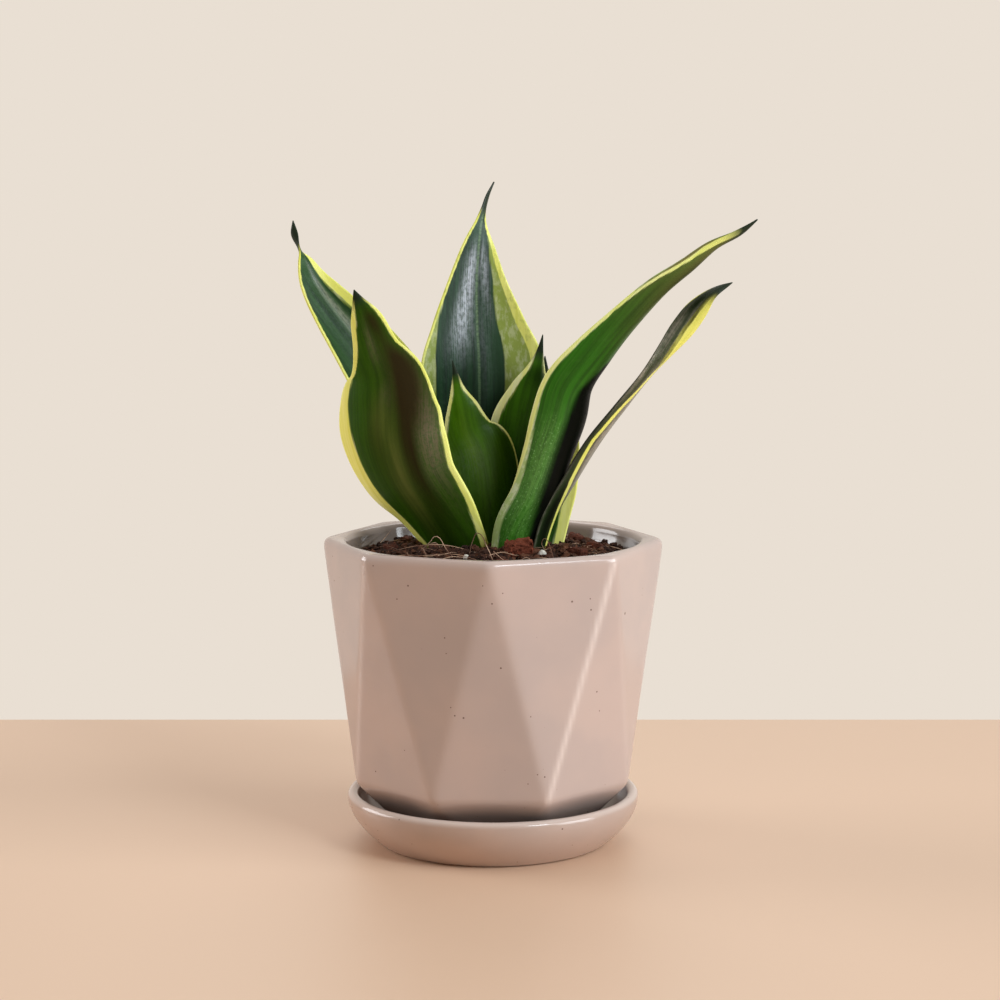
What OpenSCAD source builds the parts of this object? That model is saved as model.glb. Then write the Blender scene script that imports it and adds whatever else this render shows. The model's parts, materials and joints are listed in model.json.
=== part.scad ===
// Octagonal faceted planter in glazed ceramic, standing in a round saucer and
// planted with a variegated snake plant. Millimetres, +Z up. The origin is the
// centre of the saucer's flat base, and -Y is the front.

/* [Pot] */
// Rim, corner to corner
pot_across = 120; // [100:1:150]
// How much narrower the lower ring of corners is than the rim
pot_narrowing = 18; // [8:1:40]
// Height from foot to rim
pot_height = 102.5; // [85:0.5:130]
// Height of the lower ring of corners above the foot
facet_lift = 18.8; // [14:0.2:26]
// Diameter of the foot
foot_d = 64; // [52:1:78]
// Thickness of the wall
wall = 4.6; // [3:0.1:8]
// Thickness of the floor
floor_t = 7; // [4:0.5:12]
// Rounding of the rim
lip_round = 2.8; // [1:0.1:4]
// Rounding of the lower corners
corner_round = 4; // [2:0.1:6]
// Rounding of the cavity's corners
cavity_round = 14; // [6:1:20]
// Number of sides
sides = 8; // [6:1:12]
// Turn of the pot about its axis, in degrees
pot_turn = -1; // [-22:0.5:22]
// Diameter of the drain hole
drain_d = 14; // [6:0.5:20]
// Depth of the hollow under the floor, inside the foot ring
foot_hollow = 1.6; // [0.6:0.1:3]
// Width of the foot ring
foot_ring_w = 6; // [4:0.5:9]
// Number of drain notches through the foot ring
notches = 4; // [2:1:8]
// Width of a drain notch
notch_w = 7; // [3:0.5:10]

/* [Saucer] */
// Least clearance between its rim and the pot's underside
saucer_gap = 2.3; // [1:0.1:15]
// How far its rim stays below the pot's lower ring of corners
saucer_below = 5.8; // [4:0.1:10]
// How far its flat base reaches beyond the pot's foot
saucer_base_margin = 5; // [3:0.5:10]
// Thickness of the wall
saucer_wall = 4; // [3:0.1:6]
// Thickness of the floor, on which the pot stands
saucer_floor = 5; // [3.5:0.1:8]

/* [Drain screen] */
// Diameter of the mesh disc over the drain hole
screen_d = 30; // [24:1:40]
// Thickness of the mesh disc
screen_t = 0.8; // [0.5:0.1:1.5]
// Pitch of its mesh
screen_pitch = 3.6; // [3:0.1:6]
// Width of the strands of its mesh
screen_bar = 1.2; // [0.8:0.1:2]

/* [Soil] */
// Depth of the soil below the rim, at the plant
soil_drop = 3; // [1:0.5:15]
// How much lower the soil lies at the wall
soil_fall = 3.5; // [1:0.5:8]
// Clearance between the root ball and the pot's wall
soil_gap = 0.3; // [0.2:0.1:1]

/* [Plant] */
// Height of the tallest leaf above the soil
plant_h = 129; // [105:1:155]
// Thickness of a leaf at its midrib
leaf_t = 2.4; // [1.6:0.1:2.6]
// Thickness of a leaf at its margin
leaf_edge = 0.8; // [0.5:0.1:1.2]
// Depth of the leaf bases under the soil
leaf_sink = 9; // [6:0.5:12]
// Diameter of a root near the rhizome
root_d = 2.4; // [1.2:0.1:3]
// Diameter of the fine fibres on the soil
fibre_d = 0.7; // [0.5:0.1:1.2]

/* [Hidden] */

overlap = 1;                                      // how far a cut runs past a face
foot_z = saucer_floor;                            // the foot stands on the saucer's floor
rim_z = foot_z + pot_height;
pot_across_low = pot_across - pot_narrowing;
facet_z = foot_z + facet_lift;
cavity_z = foot_z + floor_t;
soil_z = rim_z - soil_drop;                       // the soil's level at the plant
plant_scale = plant_h / 129;                      // the stations below are for a 129 mm plant
saucer_h = facet_z - saucer_below;
under_r = foot_d / 2                              // the pot's underside at the saucer's rim
    + (pot_across_low - foot_d) / 2 * (saucer_h - foot_z) / facet_lift;
saucer_d = ceil(4 * (under_r + saucer_gap + saucer_wall)) / 2; // to half a millimetre
saucer_base_d = foot_d + 2 * saucer_base_margin;
soil_r = pot_across / 2 - wall;                   // the soil reaches this far at a corner
soil_ratio = soil_r / 55.4;                       // the chips were placed for a reach of 55.4
notch_h = foot_hollow * 0.75;                     // the notches stop short of the hollow's roof
glaze = [0.72, 0.62, 0.55];
leaf_green = [0.20, 0.38, 0.12];

// ---- pot ----

// One corner of a ring, given by its sharp radius r and rounded by a ball
module corner(r, z, turn, ball)
    rotate(turn)
        translate([0, -(r - ball / cos(180 / sides)), z])
            sphere(ball, $fn = 28);

module corner_ring(r, z, turn, ball)
    for (i = [0 : sides - 1])
        corner(r, z, pot_turn + turn + i * 360 / sides, ball);

// Sixteen flat triangles between two rings of corners, half a side apart
module pot_body()
    hull() {
        corner_ring(pot_across / 2, rim_z - lip_round, 0, lip_round);
        corner_ring(pot_across_low / 2, facet_z, 180 / sides, corner_round);
        translate([0, 0, foot_z])
            cylinder(d = foot_d, h = 0.5, $fn = 64);
    }

// The hollow of the pot, a wall inside the facets. gap makes it smaller all round.
module cavity(gap = 0, top = rim_z + overlap)
    hull() {
        intersection() {
            corner_ring(pot_across / 2 - wall - gap, rim_z, 0, cavity_round);
            translate([0, 0, cavity_z])
                cylinder(d = pot_across, h = top - cavity_z);
        }
        corner_ring(pot_across_low / 2 - wall - 1 - gap, facet_z + cavity_round, 180 / sides,
            cavity_round);
        translate([0, 0, cavity_z])
            cylinder(d = foot_d - 2 * gap, h = 0.5, $fn = 64);
    }

module pot() color(glaze) difference() {
    pot_body();
    cavity();
    translate([0, 0, foot_z - overlap])
        cylinder(d = drain_d, h = floor_t + 2 * overlap, $fn = 48);
    translate([0, 0, foot_z - overlap])
        cylinder(d = foot_d - 2 * foot_ring_w, h = foot_hollow + overlap, $fn = 64);
    for (i = [0 : notches - 1])
        rotate(45 + i * 360 / notches)
            translate([foot_d / 2 - foot_ring_w - overlap, -notch_w / 2, foot_z - overlap])
                cube([foot_ring_w * 2, notch_w, notch_h + overlap]);
}

// ---- saucer ----

module saucer() color(glaze)
    rotate_extrude($fn = 96)
        polygon(concat([[0, 0]], saucer_side(0), lip_arc(), saucer_side(1), [[0, saucer_floor]]));

// The bowl's side, a quarter of an ellipse from the base up to the lip. Side 0 is the
// outer one, going up, and side 1 the inner one, a wall further in, coming down.
function saucer_side(side) =
    let (lip_z = saucer_h - saucer_wall / 2,
        low = side == 0 ? 0 : saucer_floor,
        r_low = saucer_base_d / 2 + side * 1.5,
        r_top = saucer_d / 2 - side * saucer_wall)
    [for (i = [0 : 10])
        let (a = 9 * (side == 0 ? i : 10 - i))
        [r_low + (r_top - r_low) * sin(a), low + (lip_z - low) * (1 - cos(a))]];

function lip_arc() =
    [for (a = [15 : 15 : 165])
        [saucer_d / 2 - saucer_wall / 2 + saucer_wall / 2 * cos(a),
            saucer_h - saucer_wall / 2 + saucer_wall / 2 * sin(a)]];

// ---- drain screen ----

module drain_screen() color([0.15, 0.15, 0.15])
    translate([0, 0, cavity_z])
        difference() {
            cylinder(d = screen_d, h = screen_t, $fn = 64);
            screen_holes();
        }

module screen_holes() {
    hole = screen_pitch - screen_bar;
    n = floor(screen_d / 2 / screen_pitch);
    for (i = [-n : n], j = [-n : n])
        if (norm([abs(i) * screen_pitch + hole, abs(j) * screen_pitch + hole]) < screen_d / 2)
            translate([i * screen_pitch, j * screen_pitch, screen_t / 2])
                cube([hole, hole, screen_t + overlap], center = true);
}

// ---- soil ----

// Level of the soil at a distance r from the axis: flat at the plant, lower at the wall
function soil_level(r) = soil_z - soil_fall * pow(min(1, r / soil_r), 3);

// A place on the soil goes with the plant near the axis, and with the wall from 36 mm out
function spread(p) =
    let (q = min(1, pow(norm([p[0], p[1]]) / 36, 2)))
    [p[0], p[1]] * (plant_scale * (1 - q) + soil_ratio * q);

// A place spread over the soil, at a height above it
function on_soil(p, h) = let (at = spread(p)) [at[0], at[1], soil_level(norm(at)) + h];

module potting_mix() color([0.24, 0.15, 0.10]) difference() {
    intersection() {
        cavity(soil_gap);
        rotate_extrude($fn = 72)
            polygon(concat([[0, 0], [pot_across / 2, 0]],
                [for (i = [12 : -1 : 0])
                    [pot_across / 2 * i / 12, soil_level(pot_across / 2 * i / 12)]]));
    }
    translate([0, 0, cavity_z - overlap])
        cylinder(d = screen_d + 2 * soil_gap, h = screen_t + soil_gap + overlap, $fn = 64);
}

// Chips of coconut husk, sunk a little in the soil: place, size and turn of each
chips = [
    [9, -19, [10, 7, 6], 15], [-31, 18, [6, 4, 3], 70], [29, -16, [7, 5, 4], 140],
    [-30, -28, [6, 5, 3], 35], [30, 22, [8, 5, 4], 100], [-36, 0, [5, 4, 3], 10],
    [3, -37, [5, 4, 3], 60], [36, 3, [6, 4, 3], 155]];

module husk_chips() color([0.42, 0.20, 0.12])
    for (c = chips)
        translate(on_soil(c, c[2][2] * 0.2))
            rotate([8, -6, c[3]])
                scale(min(1, soil_ratio))
                hull() {
                    cube([c[2][0], c[2][1] * 0.7, c[2][2]], center = true);
                    cube([c[2][0] * 0.6, c[2][1], c[2][2] * 0.6], center = true);
                }

grains = [[17, -20, 1.6], [-9, -27, 1.2], [-27, 26, 1.4]];

module perlite_grains() color([0.93, 0.92, 0.88])
    for (g = grains)
        translate(on_soil(g, g[2] * 0.3))
            sphere(g[2], $fn = 16);

// ---- tubes ----

function unit(v) = v / norm(v);

// A smooth curve through a list of points or stations, at place t along it
function on_curve(rows, t) =
    let (n = len(rows) - 1, i = min(floor(t), n - 1), f = t - i,
        b = rows[i], c = rows[i + 1],
        a = i > 0 ? rows[i - 1] : 2 * b - c,
        d = i + 2 <= n ? rows[i + 2] : 2 * c - b)
    0.5 * (2 * b + (c - a) * f + (2 * a - 5 * b + 4 * c - d) * f * f
        + (3 * b - a - 3 * c + d) * f * f * f);

// Direction of the curve at t, from its x, y and z
function along(rows, t) =
    let (n = len(rows) - 1,
        a = on_curve(rows, max(0, t - 0.01)), b = on_curve(rows, min(n, t + 0.01)))
    unit([b[0] - a[0], b[1] - a[1], b[2] - a[2]]);

// Faces of a tube made of rings of m points, with a flat cap at each end
function tube_faces(rings, m) = concat(
    [[for (j = [0 : m - 1]) j]],
    [for (i = [0 : rings - 2], j = [0 : m - 1])
        [i * m + j, (i + 1) * m + j, (i + 1) * m + (j + 1) % m]],
    [for (i = [0 : rings - 2], j = [0 : m - 1])
        [i * m + j, (i + 1) * m + (j + 1) % m, i * m + (j + 1) % m]],
    [[for (j = [m - 1 : -1 : 0]) (rings - 1) * m + j]]);

// A round strand along points, from diameter d to diameter d_end
module strand(points, d, d_end, steps = 2, m = 6) {
    n = len(points) - 1;
    rings = n * steps + 1;
    polyhedron([for (i = [0 : rings - 1])
        let (t = i / steps, p = on_curve(points, t), T = along(points, t),
            B = unit(cross(T, abs(T[2]) > 0.8 ? [0, 1, 0] : [0, 0, 1])), N = cross(T, B),
            r = (d + (d_end - d) * t / n) / 2)
        for (j = [0 : m - 1])
            let (a = 360 * j / m) p + r * (cos(a) * B + sin(a) * N)],
        tube_faces(rings, m));
}

// Fibres lying on the soil: x, y and height above it of each point
fibres = [
    [[-44, -17, 0.3], [-34, -20, 1.2], [-22, -24, 0.8], [-12, -30, 2], [-3, -33, 0.2]],
    [[-26, -16, 0.2], [-22, -19, 4], [-19, -21, 7], [-16, -24, 3], [-13, -28, 0.3]],
    [[-8, -20, 0.3], [-7, -22, 5], [-5, -24, 8], [-2, -26, 4], [0, -30, 0.4]],
    [[-36, -10, 0.3], [-27, -13, 2.2], [-16, -15, 2.6], [-6, -17, 0.5]],
    [[-5, -34, 0.3], [-13, -31, 1.5], [-19, -33, 0.9], [-27, -36, 0.3]],
    [[18, -13, 0.3], [17, -17, 4], [18, -21, 6], [20, -25, 2.5], [21, -29, 0.3]],
    [[10, -27, 0.3], [17, -31, 1.4], [25, -33, 1.2], [31, -29, 0.3]],
    [[30, -10, 0.3], [35, -16, 1.3], [40, -20, 0.9], [42, -26, 0.2]],
    [[-41, 20, 0.3], [-40, 26, 1.6], [-37, 34, 4.8]],
    [[-34, 24, 0.3], [-29, 30, 1.5], [-22, 34, 1.0], [-15, 36, 0.3]],
    [[12, 33, 0.3], [21, 34, 1.4], [30, 29, 1.1], [38, 20, 0.3]]];

module surface_fibres() color([0.62, 0.48, 0.34])
    for (f = fibres)
        strand([for (p = f) on_soil(p, p[2])], fibre_d, fibre_d * 0.7, 3);

// ---- rhizome and roots ----

crown_left = [-9, 10];
crown_right = [14, 4];
crown_r = 15;
crown_h = 17;

module crown(at)
    translate([at[0] * plant_scale, at[1] * plant_scale, soil_z - leaf_sink + 2])
        rotate([180, 0, 0])
            hull() {
                cylinder(r = crown_r * plant_scale, h = 4, $fn = 40);
                cylinder(r = crown_r * 0.55, h = crown_h, $fn = 40);
            }

module rhizome() color([0.80, 0.62, 0.38]) {
    crown(crown_left);
    crown(crown_right);
}

// Roots leave a crown all round, bend down and end above the pot's floor
module root(at, angle, reach, depth) {
    top = soil_z - leaf_sink - 6;
    end = max(top - depth, cavity_z + 6);
    dir = [cos(angle), sin(angle)];
    ring = [for (s = [0.5, 0.62, 0.85, 1, 0.96, 0.9]) at * plant_scale + dir * reach * s];
    z = [top, top - 2, top * 0.8 + end * 0.2, top * 0.55 + end * 0.45,
        top * 0.25 + end * 0.75, end];
    strand([for (i = [0 : 5]) [ring[i][0], ring[i][1], z[i]]], root_d, root_d * 0.35, 2);
}

module roots() color([0.86, 0.74, 0.55]) {
    for (i = [0 : 5])
        root(crown_left, 75 + i * 42, 17 + 3 * (i % 2), 48 + 9 * (i % 3));
    for (i = [0 : 5])
        root(crown_right, -105 + i * 42, 16 + 3 * (i % 2), 52 + 8 * (i % 3));
}

// ---- leaves ----

// A leaf is a list of stations from base to tip. Each holds the midrib's x, y and z above
// the soil, half the leaf's width along its skin, the heading of its width (0 is +X, 90 is
// +Y) and how far it is rolled: the angle by which each half turns, positive away from the
// front of an unturned leaf. Stations are for a 129 mm plant.

leaf_back_centre_rows = [
    [-3, 18, -9, 7, 12, -45], [-4, 22, 15, 15, 12, -38], [-5, 26, 38, 23, 14, -34],
    [-5.3, 27, 62, 24, 15, -32], [-5.5, 28, 78, 18.5, 15, -30], [-5.5, 28.5, 93, 12, 15, -28],
    [-5.3, 29, 106, 6.2, 20, -20], [-4.7, 30, 114, 2.2, 40, -10], [-3.6, 31, 119, 0.9, 90, 0],
    [-2, 32, 124, 0.8, 150, 0], [0.4, 33, 129, 0.15, 170, 0]];
leaf_back_left_rows = [
    [-16, 20, -9, 5, 20, -45], [-23, 26, 20, 12, 18, -40], [-32, 28, 45, 15, 15, -38],
    [-45, 29, 66, 13, 15, -35], [-57, 30, 82, 9, 15, -30], [-64, 30, 92, 6, 20, -25],
    [-67.8, 30, 100, 2.6, 60, -10], [-69.4, 30, 104.5, 1.4, 110, 0],
    [-71, 30, 110, 1.5, 150, 0], [-71.5, 30, 115, 0.15, 170, 0]];
leaf_front_left_rows = [
    [-14, 3, -9, 11, -38, 48], [-22, -3, 10, 18, -35, 38], [-31, -5, 24, 20, -30, 32],
    [-36, -7, 38, 20.5, -25, 30], [-37, -8, 50, 19.5, -22, 28], [-37.5, -9, 61, 15, -20, 25],
    [-40.5, -9.5, 71, 8.8, -15, 20], [-43.5, -10, 81, 6, -15, 18],
    [-46, -10.5, 87.5, 2.2, -10, 15], [-47.4, -11, 91.3, 0.15, 0, 0]];
leaf_front_small_rows = [
    [-2, 5, -9, 6, -5, 50], [-3, 4.5, 15, 13, -5, 42], [-5, 4, 33, 14, -5, 38],
    [-7.5, 4.5, 41, 9.5, -5, 34], [-10.5, 5, 49, 6.2, -5, 30], [-12.2, 6, 55, 2.8, -5, 20],
    [-13, 6, 60, 1.2, 0, 5], [-14.2, 6, 65.7, 0.15, 0, 0]];
leaf_inner_right_rows = [
    [9, 12, -9, 5, 0, -45], [9, 13, 15, 11, 0, -38], [9.5, 13, 32, 12.5, 0, -32],
    [10.8, 13, 44, 11.5, 0, -28], [12.8, 13, 54, 7.5, 0, -25], [15, 13, 61.5, 3.8, 0, -20],
    [16.4, 13, 67.5, 1.5, 0, 0], [17.6, 13, 74.5, 0.15, 0, 0]];
leaf_inner_far_rows = [
    [16, 17, -9, 4, 0, -40], [16.8, 18, 20, 6.5, 0, -35], [17.6, 18.5, 42, 6.5, 0, -30],
    [18.2, 19, 55, 4, 0, -20], [18.4, 19, 61, 1.6, 0, 0], [18.5, 19, 66.5, 0.15, 0, 0]];
leaf_arching_right_rows = [
    [9, -7, -9, 8, 30, 65], [12, -9, 6, 11, 32, 60], [16.5, -10, 19, 12, 34, 55],
    [20.5, -11, 33, 12.5, 34, 52], [25, -12, 45, 13.5, 34, 52], [30, -13, 56, 14, 36, 55],
    [37, -13, 66, 13, 40, 55], [46, -13, 77, 10.5, 42, 55], [57.5, -13, 89.5, 8, 42, 55],
    [67.5, -13, 98, 6, 42, 50], [75.5, -13, 105.5, 4, 42, 45], [83.5, -13, 110.5, 2.2, 42, 30],
    [90, -13, 115.6, 0.15, 42, 0]];
leaf_slender_right_rows = [
    [18, -2, -9, 4, 75, 50], [24, -4, 10, 5, 72, 50], [30, -4, 24.7, 6, 68, 50],
    [38, -4, 37.6, 7, 62, 50], [46.5, -4, 49, 7, 56, 50], [54, -4, 59, 6.3, 40, 48],
    [61, -4, 69, 5.4, 10, 42], [67, -4, 78, 4.4, -20, 36], [72.5, -4, 86, 3.2, -30, 30],
    [77, -4, 91.5, 1.7, -30, 10], [82.6, -4, 94.6, 0.15, 0, 0]];
leaf_back_right_rows = [
    [19, 6, -9, 4, 0, -30], [20, 7, 10, 7.5, 0, -24], [21, 6.8, 22, 9, 0, -20],
    [21.5, 6.5, 37, 9, 0, -20], [21.5, 6.5, 50, 6, 0, -15], [21.5, 6.5, 62, 0.15, 0, 0]];

across = 8;                                       // strips across a leaf

// Thickness of a leaf of half width w at s, from -1 at one margin to 1 at the other
function leaf_skin(w, s) = (leaf_edge + (leaf_t - leaf_edge) * (1 - s * s)) * min(1, 0.25 + w / 8);

// One ring round the leaf: along its outer side, then back along its inner side
function leaf_ring(rows, t) =
    let (r = on_curve(rows, t), T = along(rows, t), w = max(r[3], 0.1),
        h = [cos(r[4]), sin(r[4]), 0],
        B = unit(h - (h * T) * T), N = cross(T, B),
        roll = abs(r[5]) < 0.5 ? 0.5 : r[5], R = w / (roll * PI / 180))
    [for (side = [-1, 1], j = [0 : across])
        let (s = -side * (2 * j / across - 1), a = roll * s)
        [r[0], r[1], r[2]] + R * sin(a) * B + R * (1 - cos(a)) * N
            + side * leaf_skin(w, s) / 2 / plant_scale * (cos(a) * N - sin(a) * B)];

module leaf(rows) {
    n = len(rows) - 1;
    rings = 2 * n + 1;
    color(leaf_green)
        translate([0, 0, soil_z])
            scale(plant_scale)
                polyhedron([for (i = [0 : rings - 1]) each leaf_ring(rows, i / 2)],
                    tube_faces(rings, 2 * (across + 1)));
}

module leaf_back_centre() leaf(leaf_back_centre_rows);
module leaf_back_left() leaf(leaf_back_left_rows);
module leaf_front_left() leaf(leaf_front_left_rows);
module leaf_front_small() leaf(leaf_front_small_rows);
module leaf_inner_right() leaf(leaf_inner_right_rows);
module leaf_inner_far() leaf(leaf_inner_far_rows);
module leaf_arching_right() leaf(leaf_arching_right_rows);
module leaf_slender_right() leaf(leaf_slender_right_rows);
module leaf_back_right() leaf(leaf_back_right_rows);

saucer();
pot();
drain_screen();
potting_mix();
husk_chips();
perlite_grains();
surface_fibres();
rhizome();
roots();
leaf_back_centre();
leaf_back_left();
leaf_front_left();
leaf_front_small();
leaf_inner_right();
leaf_inner_far();
leaf_arching_right();
leaf_slender_right();
leaf_back_right();
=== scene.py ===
import json
import math
import random
import bpy
import bmesh
import numpy as np
from mathutils import Matrix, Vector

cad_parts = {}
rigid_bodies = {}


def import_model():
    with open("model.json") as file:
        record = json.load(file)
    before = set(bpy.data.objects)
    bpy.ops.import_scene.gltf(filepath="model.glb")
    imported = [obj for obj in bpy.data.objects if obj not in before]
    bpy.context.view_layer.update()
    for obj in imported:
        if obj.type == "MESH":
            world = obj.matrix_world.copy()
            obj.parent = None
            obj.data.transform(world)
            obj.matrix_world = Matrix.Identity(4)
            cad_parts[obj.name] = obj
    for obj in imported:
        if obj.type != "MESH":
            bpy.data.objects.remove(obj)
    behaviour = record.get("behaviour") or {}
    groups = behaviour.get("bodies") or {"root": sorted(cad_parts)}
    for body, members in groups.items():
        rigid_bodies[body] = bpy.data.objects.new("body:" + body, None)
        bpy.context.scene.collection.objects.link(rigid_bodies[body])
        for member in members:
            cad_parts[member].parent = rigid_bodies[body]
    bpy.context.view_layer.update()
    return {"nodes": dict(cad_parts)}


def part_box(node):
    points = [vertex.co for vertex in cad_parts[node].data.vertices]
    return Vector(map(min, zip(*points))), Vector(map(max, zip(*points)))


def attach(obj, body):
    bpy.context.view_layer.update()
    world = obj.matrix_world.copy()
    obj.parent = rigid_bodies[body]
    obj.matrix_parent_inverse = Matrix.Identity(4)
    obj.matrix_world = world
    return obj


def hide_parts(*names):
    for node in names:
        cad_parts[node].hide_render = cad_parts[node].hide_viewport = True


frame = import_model()
mm = 0.001
potLow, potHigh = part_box("pot")
rimZ = potHigh[2] / mm                 # these and most lengths below are in mm
footZ = potLow[2] / mm
soilZ = rimZ - 3                       # level of the soil at the plant
print("frame loaded")


# small helpers

def deselectAll():
    for obj in bpy.context.view_layer.objects:
        obj.select_set(False)


def work(obj):
    deselectAll()
    obj.select_set(True)
    bpy.context.view_layer.objects.active = obj


def editOn(obj):
    work(obj)
    bpy.ops.object.mode_set(mode="EDIT")
    bpy.ops.mesh.select_mode(type="VERT")


def editOff():
    bpy.ops.object.mode_set(mode="OBJECT")


def newest(name):
    obj = bpy.context.active_object
    obj.name = name
    obj.data.name = name
    return obj


def added(name, data):
    obj = bpy.data.objects.new(name, data)
    bpy.context.scene.collection.objects.link(obj)
    return obj


def start(name, primitive, **settings):
    # a new shape by itself, with nothing else selected
    deselectAll()
    primitive(**settings)
    return newest(name)


def addRing(count, radius, height, turn=0):
    bpy.ops.mesh.primitive_circle_add(vertices=count, radius=radius * mm, fill_type="NOTHING",
                                      location=(0, 0, height * mm), rotation=(0, 0, turn))


def pick(obj, kind, test):
    # selects, in edit mode, the vertices or edges that pass the test
    bpy.ops.mesh.select_all(action="DESELECT")
    bpy.ops.mesh.select_mode(type=kind)
    mesh = bmesh.from_edit_mesh(obj.data)
    for item in mesh.verts if kind == "VERT" else mesh.edges:
        item.select = bool(test(item))
    mesh.select_flush_mode()
    bmesh.update_edit_mesh(obj.data)


def ringAt(obj, height):
    pick(obj, "VERT", lambda v: abs(v.co.z / mm - height) < 0.05)


def extrudeRings(steps, close=False):
    # each step copies the selected ring, scales it about the axis and lifts it
    for scale, rise in steps:
        bpy.ops.mesh.extrude_region_move(TRANSFORM_OT_translate={"value": (0, 0, rise * mm)})
        bpy.ops.transform.resize(value=(scale, scale, 1), center_override=(0, 0, 0))
    if close:
        bpy.ops.mesh.merge(type="CENTER")


def ringSteps(profile):
    # (radius, height) pairs as steps for extrudeRings
    return [(b[0] / a[0], b[1] - a[1]) for a, b in zip(profile, profile[1:])]


def applyModifier(obj, kind, **settings):
    work(obj)
    modifier = obj.modifiers.new(kind.lower(), kind)
    for key, value in settings.items():
        setattr(modifier, key, value)
    bpy.ops.object.modifier_apply(modifier=modifier.name)


def roughen(obj, name, lump, strength, middle=0.5, depth=2):
    # moves the skin in and out by soft lumps of about this size
    clouds = bpy.data.textures.new(name, "CLOUDS")
    clouds.noise_scale = lump * mm
    clouds.noise_depth = depth
    applyModifier(obj, "DISPLACE", texture=clouds, texture_coords="LOCAL",
                  strength=strength * mm, mid_level=middle)


def settle(obj):
    work(obj)
    bpy.ops.object.transform_apply(location=True, rotation=True, scale=True)


def joinAll(objects, name):
    work(objects[0])
    for obj in objects:
        obj.select_set(True)
    bpy.ops.object.join()
    return newest(name)


def outward(obj):
    editOn(obj)
    bpy.ops.mesh.select_all(action="SELECT")
    bpy.ops.mesh.normals_make_consistent(inside=False)
    editOff()


def smooth(obj, angle=None):
    work(obj)
    if angle is None:
        bpy.ops.object.shade_smooth()
    else:
        bpy.ops.object.shade_smooth_by_angle(angle=math.radians(angle))


def setFloat(obj, name, values):
    layer = obj.data.attributes.new(name, "FLOAT", "POINT")
    layer.data.foreach_set("value", np.asarray(values, np.float32))


def readRows(items, key):
    flat = np.zeros(len(items) * 3)
    items.foreach_get(key, flat)
    return flat.reshape(-1, 3)


def places(obj):
    return readRows(obj.data.vertices, "co") / mm


def movePlaces(obj, points):
    obj.data.vertices.foreach_set("co", np.asarray(points, float).ravel() * mm)
    obj.data.update()


def radiiOf(points):
    return np.hypot(points[:, 0], points[:, 1])


def onCircle(radius, angle, height=0):
    return np.array([radius * math.cos(angle), radius * math.sin(angle), height])


def finishPiece(obj, body, slot, node, *materials):
    obj.data.materials.clear()
    for material in materials:
        obj.data.materials.append(material)
    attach(obj, body)
    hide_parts(node)


# helpers for materials; colours are written as sRGB, 0 to 255, and made linear as they are set

def linear(colour):
    shares = [c / 255 for c in colour]
    return [c / 12.92 if c <= 0.04045 else ((c + 0.055) / 1.055) ** 2.4 for c in shares] + [1]


def plug(tree, node, inputs):
    for key, value in inputs.items():
        socket = node.inputs[key]
        if isinstance(value, bpy.types.NodeSocket):
            tree.links.new(value, socket)
        else:
            socket.default_value = linear(value) if socket.type == "RGBA" else value


def addNode(tree, kind, inputs, output=0, **settings):
    # a new node with its inputs plugged in, which gives the output that is used
    node = tree.nodes.new("ShaderNode" + kind)
    for key, value in settings.items():
        setattr(node, key, value)
    plug(tree, node, inputs)
    return node.outputs[output]


def newMaterial(name):
    material = bpy.data.materials.new(name)
    material.use_nodes = True
    return material, material.node_tree, material.node_tree.nodes["Principled BSDF"]


def objectCoords(tree):
    return addNode(tree, "TexCoord", {}, "Object")


def attribute(tree, name):
    return addNode(tree, "Attribute", {}, "Fac", attribute_name=name)


def stretched(tree, vector, scale):
    return addNode(tree, "Mapping", {"Vector": vector, "Scale": scale})


def noiseOn(tree, vector, scale, detail=3.0, rough=0.55):
    return addNode(tree, "TexNoise", {"Vector": vector, "Scale": scale, "Detail": detail,
                                      "Roughness": rough})


def maths(tree, operation, first, second=0.0):
    return addNode(tree, "Math", {0: first, 1: second}, operation=operation)


def times(tree, first, second):
    return maths(tree, "MULTIPLY", first, second)


def plus(tree, first, second):
    return maths(tree, "ADD", first, second)


def ramp(tree, value, low, high, outLow=0.0, outHigh=1.0):
    numbers = enumerate((value, low, high, outLow, outHigh))
    return addNode(tree, "MapRange", dict(numbers), interpolation_type="SMOOTHSTEP")


def blend(tree, factor, first, second):
    return addNode(tree, "Mix", {0: factor, 6: first, 7: second}, 2, data_type="RGBA")


def coated(tree, colour, *coats):
    # each coat, an amount and a colour, goes over the ones before it
    for amount, coat in coats:
        colour = blend(tree, amount, colour, coat)
    return colour


def bump(tree, height, distance, strength):
    return addNode(tree, "Bump", {"Strength": strength, "Distance": distance * mm,
                                  "Height": height})


# glaze of the pot and the saucer

glazeLook = dict(
    warm=(197, 174, 164), cool=(189, 169, 161),
    # the next colour is pale thin glaze along the edges, and also a painted highlight on a few pot
    # edges and the saucer's lip
    ridge=(232, 214, 204),             # the glaze is thin and pale along an edge
    # the inside colour is painted shade, inside the pot and on its taper to the foot
    inside=(72, 61, 48), speck=(88, 62, 50),
    roughness=0.16, roughInside=0.11,
    specks=[(150, 0.10), (330, 0.13)])  # cells per metre and the largest speck in each
# the saucer's glaze is a darker copy of the pot's, as painted shade
saucerShadedLook = dict(glazeLook, warm=(190, 164, 150), cool=(182, 159, 147))


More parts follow.
